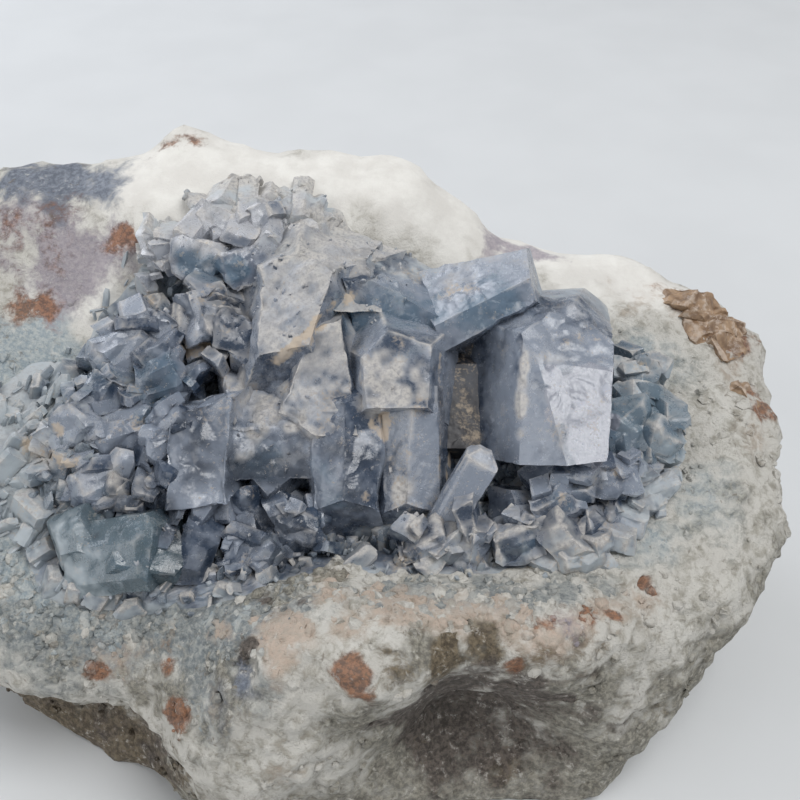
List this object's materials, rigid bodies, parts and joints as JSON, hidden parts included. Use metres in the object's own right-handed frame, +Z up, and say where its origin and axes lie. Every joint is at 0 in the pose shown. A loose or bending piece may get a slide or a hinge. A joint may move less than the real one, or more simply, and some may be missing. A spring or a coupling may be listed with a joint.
{
  "type": "celestite crystal cluster",
  "caption": "Hand-sized celestite specimen: blocky blue-grey crystals and a crust of small ones in the hollow of a broken pale rock, with a flat underside to rest on.",
  "frame": {"origin": "on the flat underside that the rock rests on, below the middle of the crystals", "axes": "+X to the viewer's right along the rock's length, +Y away from the viewer towards the high crest, +Z up"},
  "size_m": [0.1975, 0.1202, 0.0863],
  "materials": {
    "rock": "matte",
    "crust": "satin",
    "crystal": "gloss"
  },
  "bodies": {
    "root": {"matrix_rock": "rock", "crystal_crust": "crust", "crystal_right_block": "crystal", "crystal_middle_prism": "crystal", "crystal_centre_column": "crystal", "crystal_left_tower": "crystal", "crystal_left_block": "crystal", "crystal_back_ridge": "crystal", "crystal_cavity": "crystal", "crystal_small_prism": "crystal", "crystal_right_cluster": "crystal", "crystal_upper_blades": "crystal", "crystal_dusty_pair": "crystal", "crystal_deep_blue": "crystal", "crystal_left_plate": "crystal", "crystal_dark_wedge": "crystal", "crystal_glassy_block": "crystal", "crystal_left_heap": "crystal", "crystal_front_row": "crystal", "crystal_front_right": "crystal", "crystal_under_right": "crystal"}
  },
  "joints": []
}
